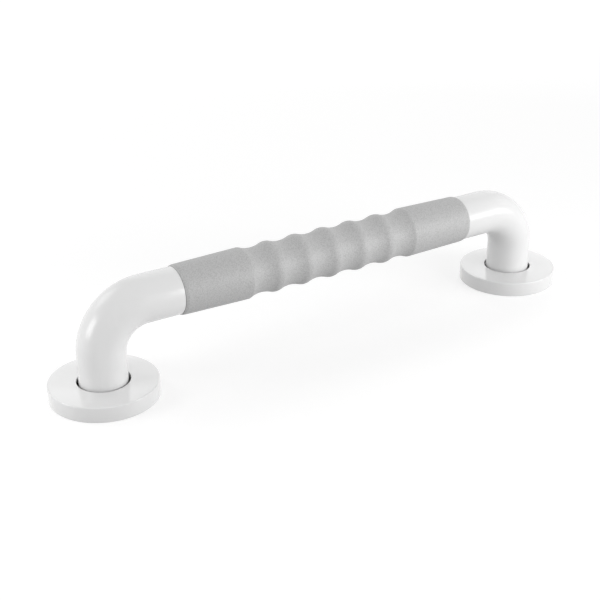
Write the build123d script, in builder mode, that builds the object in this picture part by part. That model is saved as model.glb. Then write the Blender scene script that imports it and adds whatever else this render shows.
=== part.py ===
from build123d import *
import os
from math import asin, cos, sin, sqrt

# Grab bar with a ridged soft grip, standing on its wall flanges.
# X runs along the bar, Y across it, Z away from the wall. The wall is Z = 0.
# Lengths along the bar add up from the middle out, and radii from the shell.

# Bar route
axis_height = 66.0
bend_radius = 33.5

# Moulded elbow shells
shell_diameter = 35.0
shell_wall = 4.9
shell_straight = 25.5
shell_end_round = 0.6

# Load carrying tube, a loose fit in the shells and the grip
tube_wall = 1.5
tube_recess = 0.5
sleeve_clearance = 0.1

# Soft grip, whose rises and drop are measured from the face of the shells
ridge_pitch = 24.5
ridge_count = 5
ridge_rise = 1.7
ridge_round = 4.5
valley_drop = 0.5
shoulder_rise = 1.9
shoulder_round = 3.0
plain_length = 53.0
plain_end_rise = 1.0
end_roll_length = 3.0
end_lip_rise = 0.25
end_edge_round = 0.5

# Wall plates
plate_thickness = 3.0
plate_edge_chamfer = 0.5
screw_count = 3
screw_hole = 6.0
screw_offset_from_leg = 9.5
screw_inset_from_rim = 9.5
screw_start_angle = 90.0
weld_leg = 2.0
weld_hollow = 4.0
weld_clearance = 0.6

# Flange covers
cover_wall = 2.0
screw_head_room = 7.2
cover_fall = 0.6
cover_edge_round = 1.0
cover_hole_chamfer = 0.3
leg_clearance = 1.65
skirt_clearance = 1.0
hold_rib_count = 6
hold_rib_width = 2.4
hold_rib_clearance = 0.15
hold_rib_lift = 0.5

# Radii, from the inside out
shell_radius = shell_diameter / 2
sleeve_bore_radius = shell_radius - shell_wall
tube_radius = sleeve_bore_radius - sleeve_clearance
valley_radius = shell_radius - valley_drop
ridge_radius = shell_radius + ridge_rise
shoulder_radius = shell_radius + shoulder_rise
cover_hole_radius = shell_radius + leg_clearance
screw_circle_radius = shell_radius + screw_offset_from_leg
plate_radius = screw_circle_radius + screw_inset_from_rim
skirt_radius = plate_radius + skirt_clearance
cover_radius = skirt_radius + cover_wall

# Places along the bar, from the middle out
grip_end_x = (ridge_count + 1) * ridge_pitch / 2 + plain_length
leg_x = grip_end_x + shell_straight + bend_radius
hands = {"left": -1, "right": 1}

# Heights over the wall
cover_rim_height = plate_thickness + screw_head_room + cover_wall
cover_edge_height = cover_rim_height - cover_fall

os.makedirs("parts", exist_ok=True)


# The steel tube carries the load from plate to plate inside everything else.
with BuildPart() as core_tube:
    with BuildLine(Plane.XZ) as tube_route:
        FilletPolyline(
            (-leg_x, tube_recess),
            (-leg_x, axis_height),
            (leg_x, axis_height),
            (leg_x, tube_recess),
            radius=bend_radius,
        )
    with BuildSketch(Plane(origin=(-leg_x, 0, tube_recess))):
        Circle(tube_radius)
        Circle(tube_radius - tube_wall, mode=Mode.SUBTRACT)
    sweep(path=tube_route.line)

core_tube.part.label = "core_tube"
export_step(core_tube.part, "parts/core_tube.step")


# Each end of the tube is sheathed in a thick white shell, from the plate to the grip.
for hand, side in hands.items():
    with BuildPart() as elbow:
        with BuildLine(Plane.XZ) as shell_route:
            FilletPolyline(
                (side * leg_x, plate_thickness),
                (side * leg_x, axis_height),
                (side * grip_end_x, axis_height),
                radius=bend_radius,
            )
        with BuildSketch(Plane(origin=(side * leg_x, 0, plate_thickness), x_dir=(-side, 0, 0))):
            Circle(shell_radius)
            Circle(sleeve_bore_radius, mode=Mode.SUBTRACT)
        sweep(path=shell_route.line)

        # The mouth is opened out so that the shell seats on the plate over the weld.
        foot_edges = elbow.faces().sort_by(Axis.Z)[0].edges()
        chamfer(foot_edges.sort_by(SortBy.RADIUS)[0], weld_leg + weld_clearance)

        # The edge beside the grip is rounded, which leaves a fine groove at the joint.
        grip_face = elbow.faces().filter_by(Axis.X).sort_by(SortBy.AREA)[-1]
        fillet(grip_face.edges().sort_by(SortBy.RADIUS)[-1], shell_end_round)

    elbow.part.label = f"elbow_{hand}"
    export_step(elbow.part, f"parts/elbow_{hand}.step")


# The grip is one turned form: narrow rounded ridges with broad hollows between them,
# and a plain, slightly tapered section at each end. Ridge and hollow arcs are tangent.
half_pitch = ridge_pitch / 2
ridge_height = ridge_radius - valley_radius
arc_sum = (half_pitch**2 + ridge_height**2) / (2 * ridge_height)
valley_round = arc_sum - ridge_round
flank_angle = asin(half_pitch / arc_sum)
flank_x = ridge_round * sin(flank_angle)
flank_radius = ridge_radius - ridge_round * (1 - cos(flank_angle))
ridge_places = [(index - (ridge_count - 1) / 2) * ridge_pitch for index in range(ridge_count)]

# The outermost hollow runs on up to the shoulder.
last_valley_x = ridge_places[-1] + half_pitch
shoulder_height = shoulder_radius - valley_radius
shoulder_x = last_valley_x + sqrt(shoulder_height * (2 * valley_round - shoulder_height))

with BuildPart() as grip:
    # In this plane a point is its place along the bar and its radius.
    bar_section = Plane(origin=(0, 0, axis_height), x_dir=(1, 0, 0), z_dir=(0, -1, 0))
    with BuildSketch(bar_section) as grip_profile:
        with BuildLine():
            for x in ridge_places:
                ThreePointArc((x - flank_x, flank_radius), (x, ridge_radius), (x + flank_x, flank_radius))
            for x in ridge_places[:-1]:
                ThreePointArc(
                    (x + flank_x, flank_radius),
                    (x + half_pitch, valley_radius),
                    (x + ridge_pitch - flank_x, flank_radius),
                )
            for side in hands.values():
                last_hollow = ThreePointArc(
                    (side * (ridge_places[-1] + flank_x), flank_radius),
                    (side * last_valley_x, valley_radius),
                    (side * shoulder_x, shoulder_radius),
                )
                plain_end = (side * (grip_end_x - end_roll_length), shell_radius + plain_end_rise)
                plain = Line(last_hollow @ 1, plain_end)
                lip = (side * grip_end_x, shell_radius + end_lip_rise)
                end_roll = TangentArc(plain @ 1, lip, tangent=plain % 1)
                Line(end_roll @ 1, (side * grip_end_x, sleeve_bore_radius))
            Line((-grip_end_x, sleeve_bore_radius), (grip_end_x, sleeve_bore_radius))
        make_face()
        fillet(grip_profile.vertices().group_by(Axis.Y)[-1], shoulder_round)
        columns = grip_profile.vertices().group_by(Axis.X)
        fillet([columns[0].sort_by(Axis.Y)[-1], columns[-1].sort_by(Axis.Y)[-1]], end_edge_round)
    revolve(axis=Axis((0, 0, axis_height), (1, 0, 0)))

grip.part.label = "grip"
export_step(grip.part, "parts/grip.step")


# Each plate is welded to the tube and has plain holes for its wall screws.
for hand, side in hands.items():
    leg_axis = Axis((side * leg_x, 0, 0), (0, 0, 1))
    # In this plane a point is its radius from the leg's centre line and its height.
    leg_section = Plane(origin=(side * leg_x, 0, 0), x_dir=(1, 0, 0), z_dir=(0, -1, 0))

    with BuildPart() as plate:
        with BuildSketch(Plane(origin=(side * leg_x, 0, 0))):
            Circle(plate_radius)
            Circle(sleeve_bore_radius, mode=Mode.SUBTRACT)
            with PolarLocations(screw_circle_radius, screw_count, start_angle=screw_start_angle):
                Circle(screw_hole / 2, mode=Mode.SUBTRACT)
        extrude(amount=plate_thickness)
        rim = plate.faces().sort_by(Axis.Z)[-1].edges().sort_by(SortBy.RADIUS)[-1]
        chamfer(rim, plate_edge_chamfer)

        # The weld is a bead with a hollow face, in the corner of plate and tube.
        weld_foot = (tube_radius + weld_leg, plate_thickness)
        weld_top = (tube_radius, plate_thickness + weld_leg)
        with BuildSketch(leg_section):
            with BuildLine():
                RadiusArc(weld_foot, weld_top, weld_hollow)
                Polyline(weld_top, (tube_radius, plate_thickness), weld_foot)
            make_face()
        revolve(axis=leg_axis)

    plate.part.label = f"plate_{hand}"
    export_step(plate.part, f"parts/plate_{hand}.step")

    # The cover is a shallow cap that hides the plate and slides loosely on the leg.
    with BuildPart() as cover:
        with BuildSketch(leg_section) as cover_profile:
            with BuildLine():
                Polyline(
                    (skirt_radius, 0),
                    (cover_radius, 0),
                    (cover_radius, cover_edge_height),
                    (cover_hole_radius, cover_rim_height),
                    (cover_hole_radius, cover_rim_height - cover_wall),
                    (skirt_radius, cover_edge_height - cover_wall),
                    close=True,
                )
            make_face()
            outer_corner = cover_profile.vertices().group_by(Axis.X)[-1].sort_by(Axis.Y)[-1]
            fillet(outer_corner, cover_edge_round)
            hole_corner = cover_profile.vertices().sort_by(Axis.Y)[-1]
            chamfer(hole_corner, cover_hole_chamfer)
        revolve(axis=leg_axis)

        # Small ribs inside the skirt hold the cover on the rim of the plate.
        rib_inner_radius = plate_radius + hold_rib_clearance
        rib_depth = skirt_radius + cover_wall / 2 - rib_inner_radius
        with BuildSketch(Plane(origin=(side * leg_x, 0, hold_rib_lift))):
            with PolarLocations(rib_inner_radius + rib_depth / 2, hold_rib_count):
                Rectangle(rib_depth, hold_rib_width)
        extrude(amount=cover_edge_height - cover_wall - hold_rib_lift)

    cover.part.label = f"cover_{hand}"
    export_step(cover.part, f"parts/cover_{hand}.step")
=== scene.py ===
"""Looks of the grab bar: moulded white elbows, a ridged soft grip and push-down flange covers."""

import logging
import math
from dataclasses import dataclass
from enum import Enum

import bpy
from mathutils import Matrix, Vector


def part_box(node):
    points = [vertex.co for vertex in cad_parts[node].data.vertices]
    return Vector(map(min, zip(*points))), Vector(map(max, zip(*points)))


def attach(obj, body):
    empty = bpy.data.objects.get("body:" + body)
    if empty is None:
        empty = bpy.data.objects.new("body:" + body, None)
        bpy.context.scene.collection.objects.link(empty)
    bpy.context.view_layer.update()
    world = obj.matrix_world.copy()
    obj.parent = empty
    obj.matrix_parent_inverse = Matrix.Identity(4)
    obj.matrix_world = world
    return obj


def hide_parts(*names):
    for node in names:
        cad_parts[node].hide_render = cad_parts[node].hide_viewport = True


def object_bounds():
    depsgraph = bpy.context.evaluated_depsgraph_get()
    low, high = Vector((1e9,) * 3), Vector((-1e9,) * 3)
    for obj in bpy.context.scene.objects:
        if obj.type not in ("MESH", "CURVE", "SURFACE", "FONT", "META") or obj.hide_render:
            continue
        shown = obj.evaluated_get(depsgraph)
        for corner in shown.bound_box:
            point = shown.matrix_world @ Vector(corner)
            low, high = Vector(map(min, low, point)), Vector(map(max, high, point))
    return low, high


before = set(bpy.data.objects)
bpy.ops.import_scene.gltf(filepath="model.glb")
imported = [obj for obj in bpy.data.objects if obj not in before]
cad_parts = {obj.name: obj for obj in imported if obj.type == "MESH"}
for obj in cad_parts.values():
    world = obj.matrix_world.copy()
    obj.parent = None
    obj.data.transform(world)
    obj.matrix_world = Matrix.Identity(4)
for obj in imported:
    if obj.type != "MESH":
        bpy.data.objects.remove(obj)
cad_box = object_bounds()
log = logging.getLogger("grab_bar")

MM = 0.001
QUARTER_TURN = math.pi / 2
FULL_TURN = 2 * math.pi
WHITE = (1, 1, 1, 1)

Outline = list[tuple[float, float]]


class Hand(Enum):
    """The two ends of the bar, each with its direction along X."""

    LEFT = -1
    RIGHT = 1

    @property
    def word(self) -> str:
        """The end's word in the names of its pieces, left or right."""
        return self.name.lower()


class Field:
    """A number worked out inside a node tree. Plain arithmetic on it adds the math nodes."""

    def __init__(self, tree: "FormTree", socket: bpy.types.NodeSocket) -> None:
        """Wrap an output of the tree that gives a number."""
        self.tree = tree
        self.socket = socket

    def math(self, operation: str, *others: "Field | float") -> "Field":
        """Add one Math node.

        Args:
            operation: Blender's name of the operation.
            others: The second and third value, where the operation takes them.

        Returns:
            The result as a new field.
        """
        node = self.tree.node("ShaderNodeMath", operation=operation)
        for socket, value in zip(node.inputs, (self, *others)):
            self.tree.feed(socket, value)
        return Field(self.tree, node.outputs[0])

    def __add__(self, other: "Field | float") -> "Field":
        """Sum of two fields."""
        return self.math("ADD", other)

    def __sub__(self, other: "Field | float") -> "Field":
        """Difference of two fields."""
        return self.math("SUBTRACT", other)

    def __mul__(self, other: "Field | float") -> "Field":
        """Product of two fields."""
        return self.math("MULTIPLY", other)

    def __truediv__(self, other: "Field | float") -> "Field":
        """Quotient of two fields."""
        return self.math("DIVIDE", other)

    def clamped(self, low: "Field | float", high: "Field | float") -> "Field":
        """Keep the field between two bounds."""
        return self.math("MAXIMUM", low).math("MINIMUM", high)

    def arc_height(self, radius: "Field") -> "Field":
        """Height of a circle over its centre, this far to the side of it, or 0 outside it."""
        return (radius * radius - self * self).math("MAXIMUM", 0.0).math("SQRT")


@dataclass
class TurnedRings:
    """A turned mesh whose rings wait for their places, with what is known of each point."""

    mesh: bpy.types.NodeSocket
    station: Field
    radius: Field
    cosine: Field
    sine: Field


class FormTree:
    """A Geometry Nodes tree written in code, with a named input for each size."""

    def __init__(self, name: str) -> None:
        """Start a tree.

        Args:
            name: Plain name of the form that the tree makes.
        """
        self.group = bpy.data.node_groups.new(name, "GeometryNodeTree")
        interface = self.group.interface
        interface.new_socket("Outline", in_out="INPUT", socket_type="NodeSocketGeometry")
        interface.new_socket("Form", in_out="OUTPUT", socket_type="NodeSocketGeometry")
        self.entry = self.node("NodeGroupInput")
        self.sizes: dict[str, float] = {}

    def node(self, kind: str, **settings: object) -> bpy.types.Node:
        """Add a node.

        Args:
            kind: Blender's type of the node.
            settings: Properties of the node to set.

        Returns:
            The new node.
        """
        node = self.group.nodes.new(kind)
        for name, value in settings.items():
            setattr(node, name, value)
        return node

    def feed(
        self, socket: bpy.types.NodeSocket, value: "Field | bpy.types.NodeSocket | object"
    ) -> None:
        """Give a socket its value.

        Args:
            socket: The input that takes the value.
            value: A field or an output to link, or a plain value to set.
        """
        if isinstance(value, Field):
            value = value.socket
        if isinstance(value, bpy.types.NodeSocket):
            self.group.links.new(value, socket)
        else:
            socket.default_value = value

    def size(self, name: str, value: float) -> Field:
        """Add a named size to the tree's inputs.

        Args:
            name: Plain name of the size.
            value: What the piece uses for it.

        Returns:
            The size as a field.
        """
        kind = "NodeSocketInt" if isinstance(value, int) else "NodeSocketFloat"
        self.group.interface.new_socket(name, in_out="INPUT", socket_type=kind)
        self.sizes[name] = value
        return Field(self, self.entry.outputs[name])

    def vector(
        self, x: "Field | float", y: "Field | float", z: "Field | float"
    ) -> bpy.types.NodeSocket:
        """Join three numbers into a vector.

        Args:
            x: The first number.
            y: The second number.
            z: The third number.

        Returns:
            The output that gives the vector.
        """
        node = self.node("ShaderNodeCombineXYZ")
        for socket, value in zip(node.inputs, (x, y, z)):
            self.feed(socket, value)
        return node.outputs[0]

    def turned_rings(self, segments: Field) -> TurnedRings:
        """Turn the object's own closed outline into rings, one for each point of it.

        The outline lies in the XY plane: X is a point's station along the piece, Y its radius.

        Args:
            segments: Number of points round a ring.

        Returns:
            The rings, with the station, the radius and the turn of each point.
        """
        place = self.node("ShaderNodeSeparateXYZ")
        self.feed(place.inputs[0], self.node("GeometryNodeInputPosition").outputs[0])
        outline = self.node("GeometryNodeMeshToCurve")
        self.feed(outline.inputs["Mesh"], self.entry.outputs["Outline"])
        marked_outline = self.node("GeometryNodeCaptureAttribute")
        marked_outline.capture_items.new("FLOAT", "Station")
        marked_outline.capture_items.new("FLOAT", "Radius")
        self.feed(marked_outline.inputs["Geometry"], outline.outputs[0])
        self.feed(marked_outline.inputs["Station"], place.outputs["X"])
        self.feed(marked_outline.inputs["Radius"], place.outputs["Y"])

        circle = self.node("GeometryNodeCurvePrimitiveCircle")
        self.feed(circle.inputs["Resolution"], segments)
        marked_circle = self.node("GeometryNodeCaptureAttribute")
        marked_circle.capture_items.new("FLOAT", "Turn")
        self.feed(marked_circle.inputs["Geometry"], circle.outputs["Curve"])
        factor = self.node("GeometryNodeSplineParameter").outputs["Factor"]
        self.feed(marked_circle.inputs["Turn"], Field(self, factor) * FULL_TURN)

        rings = self.node("GeometryNodeCurveToMesh")
        self.feed(rings.inputs["Curve"], marked_circle.outputs["Geometry"])
        self.feed(rings.inputs["Profile Curve"], marked_outline.outputs["Geometry"])
        turn = Field(self, marked_circle.outputs["Turn"])
        return TurnedRings(
            mesh=rings.outputs["Mesh"],
            station=Field(self, marked_outline.outputs["Station"]),
            radius=Field(self, marked_outline.outputs["Radius"]),
            cosine=turn.math("COSINE"),
            sine=turn.math("SINE"),
        )

    def placed(
        self, mesh: bpy.types.NodeSocket, position: bpy.types.NodeSocket
    ) -> bpy.types.NodeSocket:
        """Move each point of a mesh to its place.

        Args:
            mesh: The mesh to move.
            position: The place of each point.

        Returns:
            The moved mesh.
        """
        move = self.node("GeometryNodeSetPosition")
        self.feed(move.inputs["Geometry"], mesh)
        self.feed(move.inputs["Position"], position)
        return move.outputs[0]

    def finish(self, form: bpy.types.NodeSocket, material: bpy.types.Material) -> None:
        """End the tree with real meshes and their material.

        Args:
            form: The geometry to hand out.
            material: The finish of the piece.
        """
        real = self.node("GeometryNodeRealizeInstances")
        self.feed(real.inputs["Geometry"], form)
        dressed = self.node("GeometryNodeSetMaterial")
        self.feed(dressed.inputs["Geometry"], real.outputs[0])
        dressed.inputs["Material"].default_value = material
        self.feed(self.node("NodeGroupOutput").inputs["Form"], dressed.outputs[0])

    def build(self, name: str, outline: Outline, sharp_angle: float) -> bpy.types.Object:
        """Run the tree on an outline and keep the result as a plain mesh.

        Args:
            name: Name of the new piece.
            outline: Closed outline, as station and radius of each point.
            sharp_angle: Edges that turn further than this, in degrees, stay sharp.

        Returns:
            The finished piece, with its place in its mesh.
        """
        loop = bpy.data.meshes.new(f"{name}_outline")
        count = len(outline)
        edges = [(index, (index + 1) % count) for index in range(count)]
        loop.from_pydata([(x, y, 0) for x, y in outline], edges, [])
        piece = bpy.data.objects.new(name, loop)
        bpy.context.scene.collection.objects.link(piece)
        modifier = piece.modifiers.new(self.group.name, "NODES")
        modifier.node_group = self.group
        for item in self.group.interface.items_tree:
            if item.item_type == "SOCKET" and item.name in self.sizes:
                modifier[item.identifier] = self.sizes[item.name]
        evaluated = piece.evaluated_get(bpy.context.evaluated_depsgraph_get())
        mesh = bpy.data.meshes.new_from_object(evaluated)
        piece.modifiers.remove(modifier)
        piece.data = mesh
        mesh.name = name
        if signed_volume(mesh) < 0:
            mesh.flip_normals()
        mesh.shade_smooth()
        mesh.set_sharp_from_angle(angle=math.radians(sharp_angle))
        return piece


def signed_volume(mesh: bpy.types.Mesh) -> float:
    """Volume inside a closed mesh, below zero where its faces point inwards.

    Args:
        mesh: The closed mesh.

    Returns:
        The volume in cubic metres.
    """
    mesh.calc_loop_triangles()
    points = mesh.vertices
    total = 0.0
    for triangle in mesh.loop_triangles:
        a, b, c = (points[index].co for index in triangle.vertices)
        total += a.dot(b.cross(c)) / 6
    return total


def spread(start: float, end: float, step: float) -> list[float]:
    """Evenly spaced values from start to end, both included, about a step apart."""
    count = max(1, round(abs(end - start) / step))
    return [start + (end - start) * index / count for index in range(count + 1)]


def rounded_corner(
    corner: tuple[float, float], radius: float, start: float, steps: int = 6
) -> Outline:
    """Quarter circle inside a square corner of an outline.

    Args:
        corner: The sharp corner that the round takes away.
        radius: Radius of the round.
        start: Direction from the round's centre to its first point, in degrees.
        steps: Number of chords, below zero to run clockwise.

    Returns:
        The points of the round, in order.
    """
    way = 1 if steps > 0 else -1
    middle = math.radians(start) + way * QUARTER_TURN / 2
    reach = radius * math.sqrt(2)
    centre_x = corner[0] - reach * math.cos(middle)
    centre_y = corner[1] - reach * math.sin(middle)
    points = []
    for index in range(abs(steps) + 1):
        angle = math.radians(start) + way * QUARTER_TURN * index / abs(steps)
        points.append((centre_x + radius * math.cos(angle), centre_y + radius * math.sin(angle)))
    return points


class FinishNodes:
    """Node tree of one finish, with the few steps that all finishes share."""

    RAMP_START = 0.3
    RAMP_END = 0.7
    PEBBLE_SMOOTHNESS = 0.6

    def __init__(self, name: str) -> None:
        """Start a material with its Principled shader.

        Args:
            name: Plain name of the finish.
        """
        self.material = bpy.data.materials.new(name)
        self.material.use_nodes = True
        self.tree = self.material.node_tree
        self.shader = self.tree.nodes["Principled BSDF"]
        self.place = self.tree.nodes.new("ShaderNodeTexCoord").outputs["Object"]

    def noise(self, feature: float, detail: float = 2.0) -> bpy.types.NodeSocket:
        """Smooth noise on the object's own coordinates.

        Args:
            feature: Size of a blotch, in metres.
            detail: Number of finer layers.

        Returns:
            The output that gives the noise, from 0 to 1.
        """
        node = self.tree.nodes.new("ShaderNodeTexNoise")
        node.inputs["Scale"].default_value = 1 / feature
        node.inputs["Detail"].default_value = detail
        self.tree.links.new(self.place, node.inputs["Vector"])
        return node.outputs["Fac"]

    def pebbles(self, feature: float) -> bpy.types.NodeSocket:
        """Rounded cells on the object's own coordinates, high in the middle of each.

        Args:
            feature: Size of a cell, in metres.

        Returns:
            The output that gives the height, from 0 to 1.
        """
        node = self.tree.nodes.new("ShaderNodeTexVoronoi")
        node.feature = "SMOOTH_F1"
        node.inputs["Scale"].default_value = 1 / feature
        node.inputs["Smoothness"].default_value = self.PEBBLE_SMOOTHNESS
        self.tree.links.new(self.place, node.inputs["Vector"])
        return self.ranged(node.outputs["Distance"], 1.0, 0.0)

    def ranged(
        self, source: bpy.types.NodeSocket, low: float, high: float
    ) -> bpy.types.NodeSocket:
        """Stretch a value from the range 0 to 1 onto another range.

        Args:
            source: The output that gives the value.
            low: What 0 becomes.
            high: What 1 becomes.

        Returns:
            The output that gives the stretched value.
        """
        node = self.tree.nodes.new("ShaderNodeMapRange")
        node.inputs["To Min"].default_value = low
        node.inputs["To Max"].default_value = high
        self.tree.links.new(source, node.inputs["Value"])
        return node.outputs["Result"]

    def tint(self, source: bpy.types.NodeSocket, dark: float, light: float) -> None:
        """Let the grey of the surface wander between two tones.

        Args:
            source: The output that says where the surface is dark or light.
            dark: The darker tone.
            light: The lighter tone.
        """
        ramp = self.tree.nodes.new("ShaderNodeValToRGB")
        ramp.color_ramp.elements[0].color = (dark, dark, dark, 1)
        ramp.color_ramp.elements[1].color = (light, light, light, 1)
        ramp.color_ramp.elements[0].position = self.RAMP_START
        ramp.color_ramp.elements[1].position = self.RAMP_END
        self.tree.links.new(source, ramp.inputs["Fac"])
        self.tree.links.new(ramp.outputs["Color"], self.shader.inputs["Base Color"])

    def bumps(self, layers: list[tuple[bpy.types.NodeSocket, float]]) -> None:
        """Add bump layers to the surface.

        Args:
            layers: The output that gives each layer's height, and its depth in metres.
        """
        normal = None
        for source, depth in layers:
            node = self.tree.nodes.new("ShaderNodeBump")
            node.inputs["Distance"].default_value = depth
            self.tree.links.new(source, node.inputs["Height"])
            if normal is not None:
                self.tree.links.new(normal, node.inputs["Normal"])
            normal = node.outputs["Normal"]
        self.tree.links.new(normal, self.shader.inputs["Normal"])


@dataclass(frozen=True)
class GlossPlastic:
    """White injection-moulded plastic with a faint ripple under its gloss."""

    name: str
    tone: float
    tone_spread: float
    roughness: float
    roughness_spread: float
    ripple: float
    ripple_depth: float
    polish: float = 0.0
    polish_roughness: float = 0.03
    tone_blotch: float = 18 * MM
    gloss_blotch: float = 7 * MM

    def material(self) -> bpy.types.Material:
        """Build the finish.

        Returns:
            The finished material.
        """
        nodes = FinishNodes(self.name)
        nodes.tint(nodes.noise(self.tone_blotch), self.tone - self.tone_spread, self.tone)
        low = self.roughness - self.roughness_spread
        high = self.roughness + self.roughness_spread
        rough = nodes.ranged(nodes.noise(self.gloss_blotch, detail=4), low, high)
        nodes.tree.links.new(rough, nodes.shader.inputs["Roughness"])
        nodes.shader.inputs["Coat Weight"].default_value = self.polish
        nodes.shader.inputs["Coat Roughness"].default_value = self.polish_roughness
        nodes.bumps([(nodes.noise(self.ripple), self.ripple_depth)])
        return nodes.material


@dataclass(frozen=True)
class SoftTouch:
    """Matt grey soft plastic with a fine pebble grain."""

    name: str
    tone: float
    tone_spread: float
    roughness: float
    grain: float
    grain_depth: float
    roughness_spread: float = 0.06
    fine_ratio: int = 3

    def material(self) -> bpy.types.Material:
        """Build the finish.

        Returns:
            The finished material.
        """
        nodes = FinishNodes(self.name)
        pebbles = nodes.pebbles(self.grain)
        nodes.tint(pebbles, self.tone - self.tone_spread, self.tone + self.tone_spread)
        low = self.roughness - self.roughness_spread
        high = self.roughness + self.roughness_spread
        rough = nodes.ranged(nodes.noise(2 * self.grain), low, high)
        nodes.tree.links.new(rough, nodes.shader.inputs["Roughness"])
        fine = nodes.noise(self.grain / self.fine_ratio, detail=3)
        nodes.bumps([(pebbles, self.grain_depth), (fine, self.grain_depth / self.fine_ratio)])
        return nodes.material


@dataclass(frozen=True)
class SatinSteel:
    """Steel with the fine lines of rolling or drawing along one direction."""

    name: str
    tone: float
    roughness: float
    line_width: float
    line_length: float
    line_depth: float
    darker: float = 0.05
    lighter: float = 0.03
    roughness_spread: float = 0.07

    def material(self) -> bpy.types.Material:
        """Build the finish.

        Returns:
            The finished material.
        """
        nodes = FinishNodes(self.name)
        stretch = nodes.tree.nodes.new("ShaderNodeMapping")
        stretch.inputs["Scale"].default_value = (self.line_width / self.line_length, 1, 1)
        nodes.tree.links.new(nodes.place, stretch.inputs["Vector"])
        nodes.place = stretch.outputs["Vector"]
        lines = nodes.noise(self.line_width, detail=4)
        nodes.tint(lines, self.tone - self.darker, self.tone + self.lighter)
        low = self.roughness - self.roughness_spread
        high = self.roughness + self.roughness_spread
        rough = nodes.ranged(lines, low, high)
        nodes.tree.links.new(rough, nodes.shader.inputs["Roughness"])
        nodes.shader.inputs["Metallic"].default_value = 1.0
        nodes.bumps([(lines, self.line_depth)])
        return nodes.material


@dataclass(frozen=True)
class Layout:
    """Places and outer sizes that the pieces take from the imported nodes."""

    leg_x: float
    axis_height: float
    shell_radius: float
    foot_height: float
    grip_end_x: float
    cover_radius: float
    cover_height: float

    @classmethod
    def from_frame(cls) -> "Layout":
        """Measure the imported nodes.

        Returns:
            The layout of the bar at rest.
        """
        elbow_low, elbow_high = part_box("elbow_right")
        cover_low, cover_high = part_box("cover_right")
        shell_radius = elbow_high.y
        return cls(
            leg_x=(cover_low.x + cover_high.x) / 2,
            axis_height=elbow_high.z - shell_radius,
            shell_radius=shell_radius,
            foot_height=elbow_low.z,
            grip_end_x=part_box("grip")[1].x,
            cover_radius=cover_high.y,
            cover_height=cover_high.z,
        )


@dataclass
class ElbowShell:
    """White shell of one bend, from the wall plate to the grip."""

    hand: Hand
    layout: Layout
    finish: GlossPlastic
    bend_radius: float = 33.5 * MM
    wall: float = 4.9 * MM
    end_round: float = 0.6 * MM
    foot_chamfer: float = 2.6 * MM
    foot_round: float = 0.4 * MM
    bend_step: float = 1.3 * MM
    segments: int = 144
    sharp_angle: float = 35.0

    def outline(self) -> Outline:
        """Closed outline of the wall, by station along the bent centre line and radius.

        Returns:
            The points of the outline, in order.
        """
        layout = self.layout
        bend_start = layout.axis_height - self.bend_radius
        bend_end = bend_start + self.bend_radius * QUARTER_TURN
        end = bend_end + layout.leg_x - self.bend_radius - layout.grip_end_x
        foot = layout.foot_height
        outer = layout.shell_radius
        bore = outer - self.wall
        bend = spread(bend_start, bend_end, self.bend_step)
        points = [(foot, bore + self.foot_chamfer), (foot + self.foot_chamfer, bore)]
        points += [(station, bore) for station in bend]
        points += [(end, bore)]
        points += rounded_corner((end, outer), self.end_round, 0)
        points += [(station, outer) for station in reversed(bend)]
        points += rounded_corner((foot, outer), self.foot_round, 90)
        return points

    def form(self) -> FormTree:
        """Tree that bends the turned wall along the leg, round the bend and on to the grip.

        Returns:
            The finished tree.
        """
        layout = self.layout
        tree = FormTree(f"bent_shell_{self.hand.word}")
        rings = tree.turned_rings(tree.size("Segments", self.segments))
        side = tree.size("Side", float(self.hand.value))
        bend_radius = tree.size("Bend Radius", self.bend_radius)
        bend_start = tree.size("Bend Start", layout.axis_height - self.bend_radius)
        leg_x = tree.size("Leg Place", layout.leg_x)

        swing = ((rings.station - bend_start) / bend_radius).clamped(0.0, QUARTER_TURN)
        rise = rings.station.math("MINIMUM", bend_start)
        run = (rings.station - bend_start - bend_radius * QUARTER_TURN).math("MAXIMUM", 0.0)
        cosine = swing.math("COSINE")
        sine = swing.math("SINE")
        outward = rings.radius * rings.cosine
        inboard = bend_radius - bend_radius * cosine + run - outward * cosine
        height = rise + bend_radius * sine + outward * sine
        position = tree.vector((leg_x - inboard) * side, rings.radius * rings.sine * side, height)
        tree.finish(tree.placed(rings.mesh, position), self.finish.material())
        return tree

    def build(self) -> bpy.types.Object:
        """Make the shell and put it in the place of its node.

        Returns:
            The finished shell.
        """
        name = f"shell_{self.hand.word}"
        piece = self.form().build(name, self.outline(), self.sharp_angle)
        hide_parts(f"elbow_{self.hand.word}")
        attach(piece, "bar")
        return piece


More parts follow.
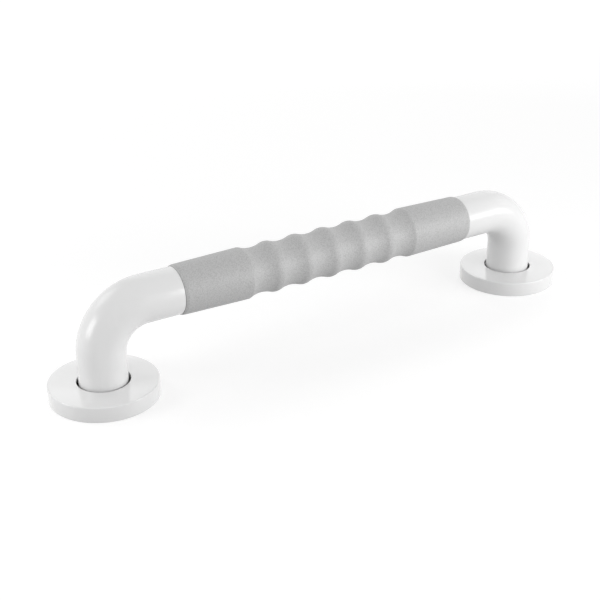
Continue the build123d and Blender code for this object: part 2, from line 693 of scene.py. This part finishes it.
@dataclass
class RidgedGrip:
    """Soft grip: a turned sleeve whose face follows the rule of its ridges."""

    layout: Layout
    finish: SoftTouch
    ridge_pitch: float = 24.5 * MM
    ridge_count: int = 5
    ridge_radius: float = 19.2 * MM
    ridge_round: float = 9.0 * MM
    valley_radius: float = 17.0 * MM
    shoulder_radius: float = 19.4 * MM
    shoulder_blend: float = 0.41 * MM
    plain_end_radius: float = 18.5 * MM
    end_roll_length: float = 3.0 * MM
    lip_radius: float = 17.75 * MM
    edge_round: float = 0.5 * MM
    wall: float = 4.9 * MM
    ridge_step: float = 0.5 * MM
    blend_steps: int = 4
    plain_step: float = 5.0 * MM
    roll_steps: int = 8
    segments: int = 160
    sharp_angle: float = 40.0

    @property
    def shoulder_x(self) -> float:
        """Place where the outermost hollow runs up to the plain end.

        Returns:
            The distance from the middle of the bar.
        """
        half_pitch = self.ridge_pitch / 2
        rise = self.ridge_radius - self.valley_radius
        valley_round = (half_pitch**2 + rise**2) / (2 * rise) - self.ridge_round
        climb = self.shoulder_radius - self.valley_radius
        return self.ridge_count * half_pitch + math.sqrt(climb * (2 * valley_round - climb))

    def outline(self) -> Outline:
        """Closed outline of the plain sleeve, by place along the bar and radius.

        Returns:
            The points of the outline, in order.
        """
        end = self.layout.grip_end_x
        roll = end - self.end_roll_length
        bore = self.layout.shell_radius - self.wall
        taper = (self.shoulder_radius - self.plain_end_radius) / (roll - self.shoulder_x)
        ridged = self.shoulder_x + self.blend_steps * self.ridge_step
        plain = spread(roll, ridged, self.plain_step)
        face = plain + spread(ridged, 0.0, self.ridge_step)[1:]
        upper = [(x, self.plain_end_radius + taper * (roll - x)) for x in face]
        drop = self.plain_end_radius - self.lip_radius
        roll_radius = (self.end_roll_length**2 + drop**2) / (2 * drop)
        rolled = []
        for x in spread(end - self.edge_round, roll, self.end_roll_length / self.roll_steps)[:-1]:
            fall = roll_radius - math.sqrt(roll_radius**2 - (x - roll) ** 2)
            rolled.append((x, self.plain_end_radius - fall))
        corner = (end, rolled[0][1])
        half = [(end, bore)] + rounded_corner(corner, self.edge_round, 0)[:-1] + rolled + upper
        return half + [(-x, radius) for x, radius in reversed(half[:-1])]

    def form(self) -> FormTree:
        """Tree that cuts the hollows and leaves the ridges, with arcs that meet tangent.

        Returns:
            The finished tree.
        """
        tree = FormTree("ridged_grip")
        rings = tree.turned_rings(tree.size("Segments", self.segments))
        pitch = tree.size("Ridge Pitch", self.ridge_pitch)
        last_ridge = tree.size("Ridges Each Side", (self.ridge_count - 1) / 2)
        ridge_radius = tree.size("Ridge Radius", self.ridge_radius)
        ridge_round = tree.size("Ridge Round", self.ridge_round)
        valley_radius = tree.size("Valley Radius", self.valley_radius)
        blend = tree.size("Shoulder Blend", self.shoulder_blend)
        height = tree.size("Axis Height", self.layout.axis_height)

        half_pitch = pitch / 2.0
        rise = ridge_radius - valley_radius
        round_sum = (half_pitch * half_pitch + rise * rise) / (rise * 2.0)
        valley_round = round_sum - ridge_round
        flank = half_pitch / round_sum * ridge_round

        place = rings.station.math("ABSOLUTE")
        ridge = (place / pitch).math("ROUND").math("MINIMUM", last_ridge) * pitch
        from_ridge = (place - ridge).math("ABSOLUTE")
        crest = ridge_radius - ridge_round + from_ridge.arc_height(ridge_round)
        from_valley = (from_ridge - half_pitch).math("ABSOLUTE").math("MINIMUM", valley_round)
        hollow = valley_radius + valley_round - from_valley.arc_height(valley_round)
        on_ridge = from_ridge.math("LESS_THAN", flank)
        ridged = hollow + (crest - hollow) * on_ridge
        face = rings.radius.math("SMOOTH_MIN", ridged, blend)
        outside = rings.radius.math("GREATER_THAN", valley_radius)
        radius = rings.radius + (face - rings.radius) * outside
        across = radius * rings.cosine
        position = tree.vector(rings.station, across, radius * rings.sine + height)
        tree.finish(tree.placed(rings.mesh, position), self.finish.material())
        return tree

    def build(self) -> bpy.types.Object:
        """Make the grip and put it in the place of its node.

        Returns:
            The finished grip.
        """
        piece = self.form().build("ridged_sleeve", self.outline(), self.sharp_angle)
        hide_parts("grip")
        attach(piece, "bar")
        return piece


@dataclass
class FlangeCover:
    """Shallow cap that hides a wall plate and slides up the leg."""

    hand: Hand
    layout: Layout
    finish: GlossPlastic
    wall: float = 2.0 * MM
    fall: float = 0.6 * MM
    leg_clearance: float = 1.65 * MM
    edge_round: float = 1.0 * MM
    hole_round: float = 0.3 * MM
    foot_round: float = 0.25 * MM
    inner_round: float = 0.6 * MM
    rib_count: int = 6
    rib_width: float = 2.4 * MM
    rib_inner_radius: float = 36.65 * MM
    rib_lift: float = 0.5 * MM
    segments: int = 224
    foot_steps: int = 4
    edge_steps: int = 10
    hole_steps: int = 5
    inner_steps: int = 6
    sharp_angle: float = 35.0

    def outline(self) -> Outline:
        """Closed outline of the cap, by height over the wall and radius from the leg.

        Returns:
            The points of the outline, in order.
        """
        outer = self.layout.cover_radius
        skirt = outer - self.wall
        hole = self.layout.shell_radius + self.leg_clearance
        rim = self.layout.cover_height
        edge = rim - self.fall
        points = rounded_corner((0, skirt), self.foot_round, 270, -self.foot_steps)
        points += rounded_corner((0, outer), self.foot_round, 180, -self.foot_steps)
        points += rounded_corner((edge, outer), self.edge_round, 90, -self.edge_steps)
        points += rounded_corner((rim, hole), self.hole_round, 0, -self.hole_steps)
        points += [(rim - self.wall, hole)]
        points += rounded_corner((edge - self.wall, skirt), self.inner_round, 0, self.inner_steps)
        return points

    def form(self) -> FormTree:
        """Tree that turns the cap and sets the hold ribs round the inside of its skirt.

        Returns:
            The finished tree.
        """
        layout = self.layout
        tree = FormTree(f"flange_cap_{self.hand.word}")
        rings = tree.turned_rings(tree.size("Segments", self.segments))
        leg_x = tree.size("Leg Place", layout.leg_x * self.hand.value)
        position = tree.vector(
            rings.radius * rings.cosine + leg_x, rings.radius * rings.sine, rings.station
        )
        cap = tree.placed(rings.mesh, position)
        tree.finish(self.with_ribs(tree, cap, leg_x), self.finish.material())
        return tree

    def with_ribs(
        self, tree: FormTree, cap: bpy.types.NodeSocket, leg_x: Field
    ) -> bpy.types.NodeSocket:
        """Add the ribs that hold the cap on the rim of the plate.

        Args:
            tree: The tree of the cap.
            cap: The turned cap.
            leg_x: Place of the leg along the bar.

        Returns:
            The cap and its ribs.
        """
        outer = self.layout.cover_radius - self.wall / 2
        depth = outer - self.rib_inner_radius
        top = self.layout.cover_height - self.fall - self.wall
        ring = tree.node("GeometryNodeMeshCircle")
        tree.feed(ring.inputs["Vertices"], tree.size("Ribs", self.rib_count))
        tree.feed(ring.inputs["Radius"], tree.size("Rib Circle", outer - depth / 2))
        middle = (self.rib_lift + top) / 2
        ring_place = tree.node("GeometryNodeTransform")
        tree.feed(ring_place.inputs["Geometry"], ring.outputs["Mesh"])
        tree.feed(ring_place.inputs["Translation"], tree.vector(leg_x, 0.0, middle))
        rib = tree.node("GeometryNodeMeshCube")
        rib.inputs["Size"].default_value = (depth, self.rib_width, top - self.rib_lift)
        turn = tree.node("FunctionNodeAxisAngleToRotation")
        index = Field(tree, tree.node("GeometryNodeInputIndex").outputs[0])
        tree.feed(turn.inputs["Angle"], index * (FULL_TURN / self.rib_count))
        ribs = tree.node("GeometryNodeInstanceOnPoints")
        tree.feed(ribs.inputs["Points"], ring_place.outputs[0])
        tree.feed(ribs.inputs["Instance"], rib.outputs["Mesh"])
        tree.feed(ribs.inputs["Rotation"], turn.outputs[0])
        both = tree.node("GeometryNodeJoinGeometry")
        tree.feed(both.inputs[0], cap)
        tree.feed(both.inputs[0], ribs.outputs[0])
        return both.outputs[0]

    def build(self) -> bpy.types.Object:
        """Make the cover and put it in the place of its node.

        Returns:
            The finished cover.
        """
        name = f"cap_{self.hand.word}"
        piece = self.form().build(name, self.outline(), self.sharp_angle)
        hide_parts(f"cover_{self.hand.word}")
        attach(piece, f"{self.hand.word}_cover")
        return piece


@dataclass
class SteelCore:
    """The bent tube and the wall plates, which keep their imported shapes."""

    tube_finish: SatinSteel
    plate_finish: SatinSteel

    def dress(self) -> None:
        """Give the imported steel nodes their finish."""
        finishes = {
            "core_tube": self.tube_finish,
            "plate_left": self.plate_finish,
            "plate_right": self.plate_finish,
        }
        made = {finish: finish.material() for finish in (self.tube_finish, self.plate_finish)}
        for name, finish in finishes.items():
            for material_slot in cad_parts[name].material_slots:
                material_slot.material = made[finish]
            log.info("dressed %s with %s", name, finish.name)


@dataclass(frozen=True)
class StudioLamp:
    """One soft box, placed by its bearing from the middle of the bar, in degrees from +X."""

    name: str
    bearing: float
    elevation: float
    distance: float
    width: float
    height: float
    watts: float

    def build(self, aim: Vector) -> None:
        """Hang the lamp and turn it to the bar.

        Args:
            aim: The point that the lamp faces.
        """
        data = bpy.data.lights.new(self.name, "AREA")
        data.shape = "RECTANGLE"
        data.size = self.width
        data.size_y = self.height
        data.energy = self.watts
        lamp = bpy.data.objects.new(self.name, data)
        bearing = math.radians(self.bearing)
        rise = math.radians(self.elevation)
        level = math.cos(rise)
        way = Vector((math.cos(bearing) * level, math.sin(bearing) * level, math.sin(rise)))
        lamp.location = aim + way * self.distance
        lamp.rotation_euler = way.to_track_quat("Z", "Y").to_euler()
        lamp.visible_camera = False
        bpy.context.scene.collection.objects.link(lamp)


@dataclass
class Studio:
    """White surroundings, a pale floor and the soft boxes."""

    lamps: tuple[StudioLamp, ...]
    ambient: float = 0.57
    floor_size: float = 9.0
    floor_tone: float = 0.60
    floor_lift: float = 0.49
    far_lift: float = 0.66
    lift_start: float = 0.7
    lift_end: float = 2.0
    floor_roughness: float = 0.9

    def seen_by_camera_or_gloss(self, tree: bpy.types.NodeTree) -> bpy.types.NodeSocket:
        """Value that is 1 for camera, glossy and transmission rays, and 0 for light.

        Args:
            tree: The tree that needs the value.

        Returns:
            The output that gives the value.
        """
        path = tree.nodes.new("ShaderNodeLightPath")
        value = path.outputs["Is Camera Ray"]
        for name in ("Is Glossy Ray", "Is Transmission Ray"):
            larger = tree.nodes.new("ShaderNodeMath")
            larger.operation = "MAXIMUM"
            tree.links.new(value, larger.inputs[0])
            tree.links.new(path.outputs[name], larger.inputs[1])
            value = larger.outputs[0]
        return value

    def build_world(self) -> None:
        """White surroundings for what is seen, and a plain level for the light they give."""
        world = bpy.data.worlds.new("studio_surroundings")
        world.use_nodes = True
        tree = world.node_tree
        background = tree.nodes["Background"]
        background.inputs["Color"].default_value = WHITE
        strength = tree.nodes.new("ShaderNodeMapRange")
        strength.inputs["To Min"].default_value = self.ambient
        strength.inputs["To Max"].default_value = 1.0
        tree.links.new(self.seen_by_camera_or_gloss(tree), strength.inputs["Value"])
        tree.links.new(strength.outputs["Result"], background.inputs["Strength"])
        bpy.context.scene.world = world

    def build_floor(self) -> None:
        """Pale floor that keeps the bar's shadow, and stays white where no lamp reaches it."""
        half = self.floor_size / 2
        mesh = bpy.data.meshes.new("studio_floor")
        corners = [(-half, -half, 0), (half, -half, 0), (half, half, 0), (-half, half, 0)]
        mesh.from_pydata(corners, [], [(0, 1, 2, 3)])
        floor = bpy.data.objects.new("studio_floor", mesh)
        bpy.context.scene.collection.objects.link(floor)
        material = bpy.data.materials.new("pale_floor")
        material.use_nodes = True
        tree = material.node_tree
        shader = tree.nodes["Principled BSDF"]
        tone = self.floor_tone
        shader.inputs["Base Color"].default_value = (tone, tone, tone, 1)
        shader.inputs["Roughness"].default_value = self.floor_roughness
        shader.inputs["Specular IOR Level"].default_value = 0.0
        shader.inputs["Emission Color"].default_value = WHITE
        place = tree.nodes.new("ShaderNodeTexCoord").outputs["Object"]
        from_middle = tree.nodes.new("ShaderNodeVectorMath")
        from_middle.operation = "LENGTH"
        tree.links.new(place, from_middle.inputs[0])
        lift = tree.nodes.new("ShaderNodeMapRange")
        lift.inputs["From Min"].default_value = self.lift_start
        lift.inputs["From Max"].default_value = self.lift_end
        lift.inputs["To Min"].default_value = self.floor_lift
        lift.inputs["To Max"].default_value = self.far_lift
        tree.links.new(from_middle.outputs["Value"], lift.inputs["Value"])
        seen_lift = tree.nodes.new("ShaderNodeMath")
        seen_lift.operation = "MULTIPLY"
        tree.links.new(self.seen_by_camera_or_gloss(tree), seen_lift.inputs[0])
        tree.links.new(lift.outputs["Result"], seen_lift.inputs[1])
        tree.links.new(seen_lift.outputs[0], shader.inputs["Emission Strength"])
        mesh.materials.append(material)

    def build(self) -> None:
        """Build the world, the floor and the lamps."""
        self.build_world()
        self.build_floor()
        aim = (cad_box[0] + cad_box[1]) / 2
        for lamp in self.lamps:
            lamp.build(aim)
            log.info("hung lamp %s", lamp.name)


@dataclass(frozen=True)
class PhotoCamera:
    """The photograph's camera, as fitted to the outline of the bar."""

    turn: float = 31.845
    look_down: float = 25.37
    roll: float = -0.453
    distance: float = 889.1 * MM
    target: tuple[float, float, float] = (-22.65 * MM, 0.0, 31.58 * MM)
    focal_length: float = 70.04
    film_width: float = 36.0
    clip_start: float = 0.01
    clip_end: float = 50.0

    def build(self) -> None:
        """Make the camera and give it to the scene."""
        data = bpy.data.cameras.new("photo_camera")
        data.lens = self.focal_length
        data.sensor_width = self.film_width
        data.clip_start = self.clip_start
        data.clip_end = self.clip_end
        camera = bpy.data.objects.new("photo_camera", data)
        turn = math.radians(self.turn)
        down = math.radians(self.look_down)
        level = math.cos(down)
        forward = Vector((math.sin(turn) * level, math.cos(turn) * level, -math.sin(down)))
        level_right = Vector((math.cos(turn), -math.sin(turn), 0))
        level_up = level_right.cross(forward)
        roll = math.radians(self.roll)
        right = level_right * math.cos(roll) + level_up * math.sin(roll)
        up = level_up * math.cos(roll) - level_right * math.sin(roll)
        place = Vector(self.target) - forward * self.distance
        axes = Matrix((right, up, -forward)).transposed()
        camera.matrix_world = Matrix.Translation(place) @ axes.to_4x4()
        bpy.context.scene.collection.objects.link(camera)
        bpy.context.scene.camera = camera


SHELL_FINISH = GlossPlastic(
    name="moulded_white",
    tone=0.80,
    tone_spread=0.012,
    roughness=0.235,
    roughness_spread=0.025,
    ripple=9 * MM,
    ripple_depth=0.004 * MM,
)
COVER_FINISH = GlossPlastic(
    name="polished_white",
    tone=0.80,
    tone_spread=0.008,
    roughness=0.12,
    roughness_spread=0.02,
    ripple=14 * MM,
    ripple_depth=0.002 * MM,
    polish=0.6,
)
GRIP_FINISH = SoftTouch(
    name="pebbled_grey",
    tone=0.465,
    tone_spread=0.045,
    roughness=0.55,
    grain=0.8 * MM,
    grain_depth=0.09 * MM,
)
TUBE_FINISH = SatinSteel(
    name="drawn_steel",
    tone=0.60,
    roughness=0.32,
    line_width=0.3 * MM,
    line_length=30 * MM,
    line_depth=0.006 * MM,
)
PLATE_FINISH = SatinSteel(
    name="rolled_steel",
    tone=0.58,
    roughness=0.38,
    line_width=0.4 * MM,
    line_length=40 * MM,
    line_depth=0.008 * MM,
)

# Each lamp's name, bearing and elevation in degrees, distance, width and height in metres, watts
LAMPS = (
    StudioLamp("right_box", 315, 9, 2.6, 0.95, 0.50, 22.0),
    StudioLamp("rear_box", 57, 29, 1.6, 1.40, 1.30, 3.5),
    StudioLamp("left_rear_high_box", 126, 39, 1.6, 0.78, 0.72, 3.0),
    StudioLamp("left_close_box", 174, 15, 0.8, 0.30, 0.28, 1.5),
    StudioLamp("front_close_box", 300, 14, 0.6, 0.25, 0.25, 0.9),
)


def main() -> None:
    """Build the camera, the light and every piece of the bar, in order."""
    logging.basicConfig(level=logging.INFO, format="%(name)s: %(message)s")
    bpy.context.scene.view_settings.view_transform = "Standard"
    PhotoCamera().build()
    Studio(LAMPS).build()
    layout = Layout.from_frame()
    SteelCore(TUBE_FINISH, PLATE_FINISH).dress()
    parts: list[ElbowShell | RidgedGrip | FlangeCover] = [RidgedGrip(layout, GRIP_FINISH)]
    for hand in Hand:
        parts.append(ElbowShell(hand, layout, SHELL_FINISH))
        parts.append(FlangeCover(hand, layout, COVER_FINISH))
    for part in parts:
        piece = part.build()
        log.info("built %s with %d faces", piece.name, len(piece.data.polygons))


if __name__ == "__main__":
    main()
